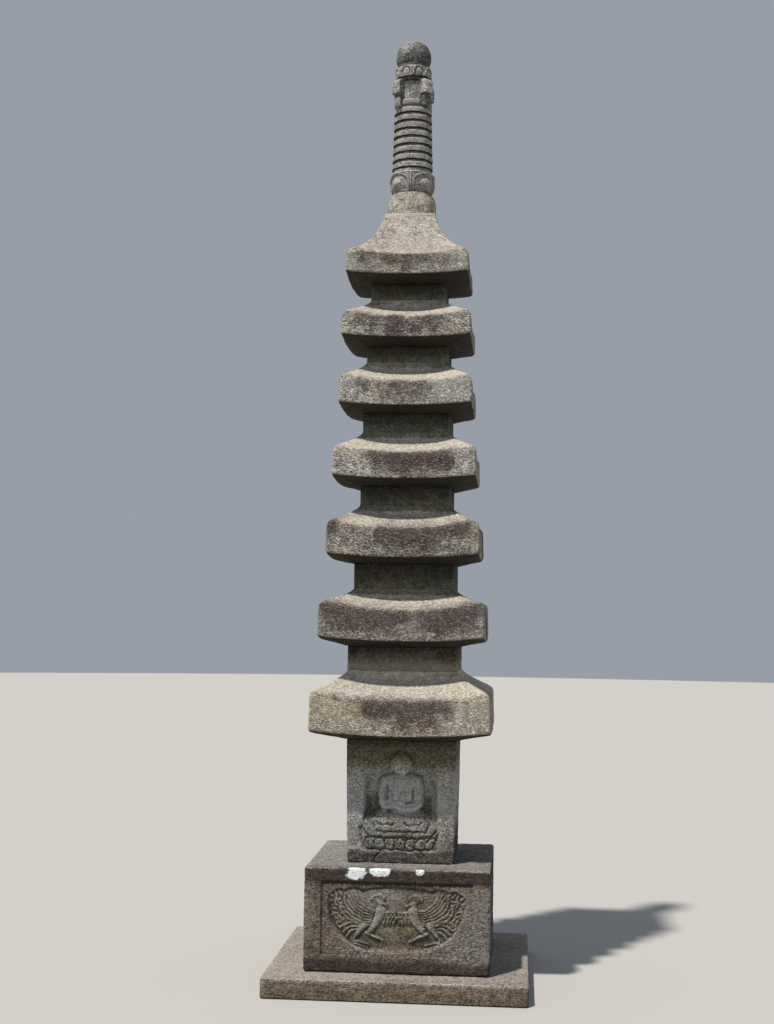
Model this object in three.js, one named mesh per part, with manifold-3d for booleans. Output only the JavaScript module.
// A seven-tier stone pagoda, as it stands in a temple garden: ground slab, carved base block,
// first storey with a seated figure in a niche on each side, seven roofs with upswept eaves,
// the low storeys between them, and a finial of bowl, lotus, nine rings, flames and jewel.
// Eight of the rings are one stone, and the ninth is cut round the foot of the flames.
// Millimetres, +Z up. The origin is the middle of the slab's underside, and the front faces -Y.

import * as THREE from "three";
import { mergeVertices } from "three/addons/utils/BufferGeometryUtils.js";
import Module from "manifold-3d";

const wasm = await Module();
wasm.setup();

// Driving dimensions of the blocks
const slab = { width: 1048, depth: 991, height: 83, edge: 7 };
const base = { width: 739, height: 405, edge: 5 };
const panel = { width: 600, height: 287, foot: 69, sink: 6 };
const bowlPanel = {
  halfWidth: 275,
  foot: 70,
  shoulder: 277, // height of its widest part
  power: 2.25, // roundness of the foot, 2 for an oval
  sink: 20,
  cuspLevel: 319,
  innerCusp: 137, // distance of the inner cusps from the middle
  outerCusp: 205,
  middlePull: 35, // how far above the cusps each arc is drawn
  sidePull: 27,
  outerPull: 16,
};
const firstStorey = { footWidth: 432, topWidth: 449, height: 497 };
const niche = { width: 308, foot: 172, springing: 325, sink: 28, archSteps: 16 };

// Driving dimensions of the seated figure, measured up from the foot of its block.
// squareness 1 makes a part oval, and a smaller number squares its corners.
const head = { centre: 402, radii: [37, 25, 44], squareness: 0.85 };
const torso = { centre: 286, radii: [91, 24, 73], squareness: 0.5 };
const lap = { centre: 192, radii: [124, 26, 26], squareness: 0.75 };

// Each roof with the storey that stands on it, from the ground up.
// fascia is the height of the eave's face at mid side, rise is from there up to the storey's foot.
const tiers = [
  { eave: 731, fascia: 136, rise: 122, storeyWidth: 451, storeyHeight: 99 },
  { eave: 677, fascia: 123, rise: 93, storeyWidth: 412, storeyHeight: 103 },
  { eave: 627, fascia: 116, rise: 105, storeyWidth: 374, storeyHeight: 80 },
  { eave: 594, fascia: 104, rise: 100, storeyWidth: 361, storeyHeight: 79 },
  { eave: 553, fascia: 99, rise: 96, storeyWidth: 339, storeyHeight: 67 },
  { eave: 539, fascia: 87, rise: 89, storeyWidth: 312, storeyHeight: 69 },
];
const topRoof = { eave: 514, fascia: 82, rise: 211, neckWidth: 212 };

// The eaves' form, shared by all roofs
const eaves = {
  batter: 4, // the face leans in by this much towards its top
  soffitDrop: 21, // the underside falls by this much from the eave to the storey below
  bottomLift: 0.021, // rise of the lower edge at the corners, as a share of the eave's width
  topLift: 0.05, // rise of the upper edge at the corners
  liftPower: 2.2,
  coveReach: 5,
  coveDepth: 77, // the slope's curve is drawn towards a point this far below the storey's foot
  hipCoveDepth: 25,
};
const topEaves = { ...eaves, coveReach: 32, coveDepth: 174, hipCoveDepth: 141 };
const storeyEdge = 6;

// Driving dimensions of the finial
const inverted = { radius: 105, shoulder: 103, topRadius: 80, height: 105 };
const lotus = {
  height: 100,
  footRadius: 84,
  bulge: 100,
  bulgeLevel: 40,
  rimRadius: 99,
  rimLevel: 83, // height of the petals' tips
  ledge: 3, // height over which the rim steps in to the cup
  cupRadius: 84,
  petals: 4,
  swell: 0.03,
};
const rings = {
  count: 8,
  pitch: 34.5,
  footRadius: 88,
  topRadius: 81,
  groove: 9,
  grooveShare: 0.24, // height of a groove's bottom, as a share of the pitch
  faceShare: 0.6, // height of a ring's upright face
};
const flames = {
  height: 116,
  coreRadius: 74,
  rootRadius: 30,
  upper: 66, // height of the upper fins
  reach: 105,
  thickness: 47,
  corner: 22,
  lowerReach: 97,
  lowerThickness: 42,
  lowerCorner: 4,
};
const ninthRing = { radius: 81, height: 27, groove: 5 };
const topLotus = {
  height: 75,
  footRadius: 71,
  bulge: 80,
  bulgeLevel: 15,
  rimRadius: 80,
  rimLevel: 64,
  ledge: 8,
  cupRadius: 70,
  petals: 8,
  swell: 0.02,
};
const jewel = { radius: 76, sunk: 40 };

// Fineness of the curved forms
const roundSegments = 32;
const sideSteps = 8;
const slopeSteps = 4;

const stoneColours = {
  slab: 0x9a958a,
  base: 0x8a7f76,
  storey: 0x8b8778,
  roof: 0xa39d8e,
  finial: 0x77756c,
};

function stoneMaterial(colour) {
  return new THREE.MeshStandardMaterial({ color: colour, roughness: 0.95, metalness: 0 });
}

// Solids for joining and cutting

function toSolid(geometry) {
  const plain = geometry.clone();
  plain.deleteAttribute("normal");
  plain.deleteAttribute("uv");
  const merged = mergeVertices(plain, 1e-3);
  return new wasm.Manifold(new wasm.Mesh({
    numProp: 3,
    vertProperties: new Float32Array(merged.attributes.position.array),
    triVerts: new Uint32Array(merged.index.array),
  }));
}

function toGeometry(solid) {
  const mesh = solid.getMesh();
  const geometry = new THREE.BufferGeometry();
  geometry.setAttribute("position", new THREE.BufferAttribute(new Float32Array(mesh.vertProperties), 3));
  geometry.setIndex(new THREE.BufferAttribute(new Uint32Array(mesh.triVerts), 1));
  geometry.computeVertexNormals();
  return geometry;
}

function forEachSide(action) {
  for (let side = 0; side < 4; side += 1) {
    action(side * Math.PI / 2);
  }
}

// Turns an outline drawn on the front face into a solid that starts sink behind the face
// and comes well out in front of it, so that it cuts a sunk field of that depth.
function frontCutter(outline, faceDistance, sink) {
  const proud = 30;
  const cutter = new THREE.ExtrudeGeometry(outline, {
    depth: sink + proud,
    bevelEnabled: false,
    curveSegments: 8,
  });
  cutter.rotateX(Math.PI / 2);
  cutter.translate(0, sink - faceDistance, 0);
  return cutter;
}

function cutOnFourSides(solid, cutter) {
  let result = solid;
  forEachSide((angle) => {
    result = result.subtract(toSolid(cutter.clone().rotateZ(angle)));
  });
  return result;
}

// Blocks with worn edges

function softSquare(width, depth, edge) {
  const x = width / 2;
  const y = depth / 2;
  const outline = new THREE.Shape();
  outline.moveTo(edge - x, -y);
  outline.lineTo(x - edge, -y);
  outline.lineTo(x, edge - y);
  outline.lineTo(x, y - edge);
  outline.lineTo(x - edge, y);
  outline.lineTo(edge - x, y);
  outline.lineTo(-x, y - edge);
  outline.lineTo(-x, edge - y);
  outline.closePath();
  return outline;
}

function wornBlock(width, depth, height, edge) {
  const inner = softSquare(width - 2 * edge, depth - 2 * edge, edge);
  const block = new THREE.ExtrudeGeometry(inner, {
    depth: height - 2 * edge,
    bevelEnabled: true,
    bevelThickness: edge,
    bevelSize: edge,
    bevelSegments: 1,
  });
  block.translate(0, 0, edge);
  return block;
}

function rectangle(width, foot, height) {
  const outline = new THREE.Shape();
  outline.moveTo(-width / 2, foot);
  outline.lineTo(width / 2, foot);
  outline.lineTo(width / 2, foot + height);
  outline.lineTo(-width / 2, foot + height);
  outline.closePath();
  return outline;
}

// The bowl-shaped field: a deep rounded foot, and a top edge of five arcs that meet in cusps.
function bowlOutline({ halfWidth, foot, shoulder, power, cuspLevel, innerCusp, outerCusp, ...pulls }) {
  const { middlePull, sidePull, outerPull } = pulls;
  const outline = new THREE.Shape();
  const roundSteps = 24;
  outline.moveTo(-halfWidth, shoulder);
  for (let step = 1; step <= roundSteps; step += 1) {
    const angle = Math.PI * (1 + step / roundSteps);
    const across = Math.sign(Math.cos(angle)) * Math.abs(Math.cos(angle)) ** (2 / power);
    const down = Math.abs(Math.sin(angle)) ** (2 / power);
    outline.lineTo(halfWidth * across, shoulder - (shoulder - foot) * down);
  }
  const between = (innerCusp + outerCusp) / 2;
  outline.quadraticCurveTo(halfWidth, cuspLevel + outerPull, outerCusp, cuspLevel);
  outline.quadraticCurveTo(between, cuspLevel + sidePull, innerCusp, cuspLevel);
  outline.quadraticCurveTo(0, cuspLevel + middlePull, -innerCusp, cuspLevel);
  outline.quadraticCurveTo(-between, cuspLevel + sidePull, -outerCusp, cuspLevel);
  outline.quadraticCurveTo(-halfWidth, cuspLevel + outerPull, -halfWidth, shoulder);
  return outline;
}

function baseBlock() {
  const block = toSolid(wornBlock(base.width, base.width, base.height, base.edge));
  const face = base.width / 2;
  const field = frontCutter(rectangle(panel.width, panel.foot, panel.height), face, panel.sink);
  const bowl = frontCutter(bowlOutline(bowlPanel), face, bowlPanel.sink);
  return toGeometry(cutOnFourSides(cutOnFourSides(block, field), bowl));
}

// The first storey widens a little towards its top, and has an arched niche on each side.

function taperedBlock(footWidth, topWidth, height) {
  const block = new THREE.BoxGeometry(1, 1, height);
  block.translate(0, 0, height / 2);
  const place = block.attributes.position;
  for (let i = 0; i < place.count; i += 1) {
    const width = THREE.MathUtils.lerp(footWidth, topWidth, place.getZ(i) / height);
    place.setXY(i, place.getX(i) * width, place.getY(i) * width);
  }
  return block;
}

function archOutline({ width, foot, springing, archSteps }) {
  const radius = width / 2;
  const outline = new THREE.Shape();
  outline.moveTo(-radius, foot);
  outline.lineTo(radius, foot);
  for (let step = 0; step <= archSteps; step += 1) {
    const angle = Math.PI * step / archSteps;
    outline.lineTo(radius * Math.cos(angle), springing + radius * Math.sin(angle));
  }
  outline.closePath();
  return outline;
}

function roundedForm({ centre, radii, squareness }, wallDistance) {
  const form = new THREE.SphereGeometry(1, 16, 10);
  form.rotateX(Math.PI / 2);
  const place = form.attributes.position;
  for (let i = 0; i < place.count; i += 1) {
    const [x, y, z] = [place.getX(i), place.getY(i), place.getZ(i)]
      .map((part) => Math.sign(part) * Math.abs(part) ** squareness);
    place.setXYZ(i, x, y, z);
  }
  form.scale(...radii);
  form.translate(0, -wallDistance, centre);
  return form;
}

function firstStoreyBlock() {
  const { footWidth, topWidth, height } = firstStorey;
  const face = footWidth / 2;
  const wall = face - niche.sink;
  let block = toSolid(taperedBlock(footWidth, topWidth, height));
  block = cutOnFourSides(block, frontCutter(archOutline(niche), face, niche.sink));
  forEachSide((angle) => {
    for (const form of [head, torso, lap]) {
      block = block.add(toSolid(roundedForm(form, wall).rotateZ(angle)));
    }
  });
  return toGeometry(block);
}

// A turned form that stands on z = 0, from its [radius, height] pairs.
function turned(profile, segments = roundSegments) {
  const points = profile.map(([radius, height]) => new THREE.Vector2(radius, height));
  const form = new THREE.LatheGeometry(points, segments);
  form.rotateX(Math.PI / 2);
  return form;
}

// Roofs

// A point on the curve from the eave to the storey's foot that is drawn towards a third point.
function pulledCurve(start, pull, end, t) {
  const back = 1 - t;
  return back * back * start + 2 * back * t * pull + t * t * end;
}

// Half widths and heights up the roof's section, from the middle of its underside over the
// eave to the middle of its seat: at mid side where corner is 0, along the hip where it is 1.
function roofSection({ eave, fascia, rise, seatWidth, underWidth }, form, corner) {
  const half = eave / 2;
  const seatHalf = seatWidth / 2;
  const eaveFoot = form.soffitDrop + form.bottomLift * eave * corner;
  const eaveTop = form.soffitDrop + fascia + form.topLift * eave * corner;
  const seatLevel = form.soffitDrop + fascia + rise;
  const pullLevel = seatLevel - (corner ? form.hipCoveDepth : form.coveDepth);
  const section = [[0, 0], [underWidth / 2, 0], [half, eaveFoot]];
  for (let step = 0; step <= slopeSteps; step += 1) {
    const t = step / slopeSteps;
    section.push([
      pulledCurve(half - form.batter, seatHalf + form.coveReach, seatHalf, t),
      pulledCurve(eaveTop, pullLevel, seatLevel, t),
    ]);
  }
  section.push([0, seatLevel]);
  return section;
}

// A roof stone is a turned form drawn out to a square plan: each column of points stands
// at its place along one side, and blends from the mid-side section to the hip's.
function roofStone(sizes, form) {
  const middle = roofSection(sizes, form, 0);
  const hip = roofSection(sizes, form, 1);
  const stone = turned(middle, 4 * sideSteps);
  const place = stone.attributes.position;
  for (let i = 0; i < place.count; i += 1) {
    const row = i % middle.length;
    const column = Math.floor(i / middle.length);
    const side = Math.floor(column / sideSteps) * Math.PI / 2;
    const along = 2 * (column % sideSteps) / sideSteps - 1;
    const corner = Math.abs(along) ** form.liftPower;
    const reach = THREE.MathUtils.lerp(middle[row][0], hip[row][0], corner);
    const height = THREE.MathUtils.lerp(middle[row][1], hip[row][1], corner);
    const x = reach * (along * Math.cos(side) + Math.sin(side));
    const y = reach * (along * Math.sin(side) - Math.cos(side));
    place.setXYZ(i, x, y, height);
  }
  stone.computeVertexNormals();
  return stone;
}

// Low storeys between the roofs

function storeyBlock(width, height) {
  return new THREE.ExtrudeGeometry(softSquare(width, width, storeyEdge), {
    depth: height,
    bevelEnabled: false,
  });
}

// Finial

// Swells a turned form into petals, most at mid height and not at all at its two flat ends.
function petalled(form, height, petals, swell) {
  const place = form.attributes.position;
  for (let i = 0; i < place.count; i += 1) {
    const angle = Math.atan2(place.getY(i), place.getX(i));
    const bulge = Math.abs(Math.sin(petals / 2 * angle)) * Math.sin(Math.PI * place.getZ(i) / height);
    const scale = 1 + swell * (bulge - 0.5 * Math.sin(Math.PI * place.getZ(i) / height));
    place.setXY(i, place.getX(i) * scale, place.getY(i) * scale);
  }
  form.computeVertexNormals();
  return form;
}

function invertedBowl({ radius, shoulder, topRadius, height }) {
  const bend = 0.55 * height;
  const profile = [[0, 0], [radius, 0], [radius - 1, 0.3 * height], [shoulder, bend]];
  const steps = 4;
  for (let step = 1; step <= steps; step += 1) {
    const angle = Math.PI / 2 * step / steps;
    const out = topRadius + (shoulder - topRadius) * Math.cos(angle);
    profile.push([out, bend + (height - bend) * Math.sin(angle)]);
  }
  profile.push([0, height]);
  return turned(profile);
}

// Petals stand round the cup up to the rim, where it steps in.
function lotusCup({ height, footRadius, bulge, bulgeLevel, petals, swell, ...rim }) {
  const { rimRadius, rimLevel, ledge, cupRadius } = rim;
  const profile = [
    [0, 0],
    [footRadius, 0],
    [THREE.MathUtils.lerp(footRadius, bulge, 0.6), 0.4 * bulgeLevel],
    [bulge, bulgeLevel],
    [rimRadius, rimLevel],
    [cupRadius, rimLevel + ledge],
    [cupRadius - 1, height],
    [0, height],
  ];
  return petalled(turned(profile), height, petals, swell);
}

function ringColumn({ count, pitch, footRadius, topRadius, groove, grooveShare, faceShare }) {
  const grooveTop = grooveShare / 2 * pitch;
  const faceFoot = (1 - faceShare) / 2 * pitch;
  const profile = [[0, 0], [footRadius - groove, 0]];
  for (let ring = 0; ring < count; ring += 1) {
    const foot = ring * pitch;
    const radius = THREE.MathUtils.lerp(footRadius, topRadius, ring / (count - 1));
    profile.push([radius - groove, foot + grooveTop]);
    profile.push([radius, foot + faceFoot]);
    profile.push([radius - 1, foot + pitch - faceFoot]);
    profile.push([radius - groove, foot + pitch - grooveTop]);
  }
  profile.push([topRadius - groove, count * pitch]);
  profile.push([0, count * pitch]);
  return turned(profile);
}

// One fin, drawn in its own plane from inside the core outwards, its upper outer corner rounded.
function finGeometry(reach, foot, top, thickness, corner) {
  const outline = new THREE.Shape();
  outline.moveTo(flames.rootRadius, foot);
  outline.lineTo(reach, foot);
  outline.lineTo(reach, top - corner);
  outline.quadraticCurveTo(reach, top, reach - corner, top);
  outline.lineTo(flames.rootRadius, top);
  outline.closePath();
  const fin = new THREE.ExtrudeGeometry(outline, { depth: thickness, bevelEnabled: false, curveSegments: 4 });
  fin.translate(0, 0, -thickness / 2);
  fin.rotateX(Math.PI / 2);
  return fin;
}

function flameBlock() {
  const { height, coreRadius, reach, thickness, upper, corner } = flames;
  const { lowerReach, lowerThickness, lowerCorner } = flames;
  const split = height - upper;
  let block = toSolid(turned([
    [0, 0],
    [ninthRing.radius - ninthRing.groove, 0],
    [ninthRing.radius, ninthRing.groove],
    [ninthRing.radius, ninthRing.height - ninthRing.groove],
    [coreRadius, ninthRing.height],
    [coreRadius, height],
    [0, height],
  ]));
  forEachSide((angle) => {
    const diagonal = angle + Math.PI / 4;
    const upperFin = finGeometry(reach, split, height, thickness, corner);
    const lowerFin = finGeometry(lowerReach, 0, split, lowerThickness, lowerCorner);
    block = block.add(toSolid(upperFin.rotateZ(diagonal)));
    block = block.add(toSolid(lowerFin.rotateZ(diagonal)));
  });
  return toGeometry(block);
}

function jewelBall({ radius, sunk }) {
  const steps = 10;
  const start = Math.acos((sunk - radius) / radius);
  const profile = [[0, 0]];
  for (let step = 0; step < steps; step += 1) {
    const angle = start * (1 - step / steps);
    profile.push([radius * Math.sin(angle), radius - sunk + radius * Math.cos(angle)]);
  }
  profile.push([0, 2 * radius - sunk]);
  return turned(profile);
}

// Assembly, stone on stone

const pagoda = new THREE.Group();
pagoda.name = "pagoda";
let level = 0;

function setStone(name, geometry, colour, height) {
  const stone = new THREE.Mesh(geometry, stoneMaterial(colour));
  stone.name = name;
  stone.position.z = level;
  pagoda.add(stone);
  level += height;
}

const slabBlock = wornBlock(slab.width, slab.depth, slab.height, slab.edge);
setStone("ground_slab", slabBlock, stoneColours.slab, slab.height);
setStone("base_block", baseBlock(), stoneColours.base, base.height);
setStone("storey_1", firstStoreyBlock(), stoneColours.storey, firstStorey.height);

let widthBelow = firstStorey.topWidth;
tiers.forEach((tier, index) => {
  const roof = { ...tier, seatWidth: tier.storeyWidth, underWidth: widthBelow };
  const roofHeight = eaves.soffitDrop + tier.fascia + tier.rise;
  setStone(`roof_${index + 1}`, roofStone(roof, eaves), stoneColours.roof, roofHeight);
  const storey = storeyBlock(tier.storeyWidth, tier.storeyHeight);
  setStone(`storey_${index + 2}`, storey, stoneColours.storey, tier.storeyHeight);
  widthBelow = tier.storeyWidth;
});

const crown = { ...topRoof, seatWidth: topRoof.neckWidth, underWidth: widthBelow };
const crownHeight = eaves.soffitDrop + topRoof.fascia + topRoof.rise;
setStone(`roof_${tiers.length + 1}`, roofStone(crown, topEaves), stoneColours.roof, crownHeight);

setStone("finial_bowl", invertedBowl(inverted), stoneColours.roof, inverted.height);
setStone("finial_lotus", lotusCup(lotus), stoneColours.finial, lotus.height);
setStone("finial_rings", ringColumn(rings), stoneColours.finial, rings.count * rings.pitch);
setStone("finial_flames", flameBlock(), stoneColours.finial, flames.height);
setStone("finial_top_lotus", lotusCup(topLotus), stoneColours.finial, topLotus.height);
setStone("finial_jewel", jewelBall(jewel), stoneColours.finial, 2 * jewel.radius - jewel.sunk);

export default pagoda;
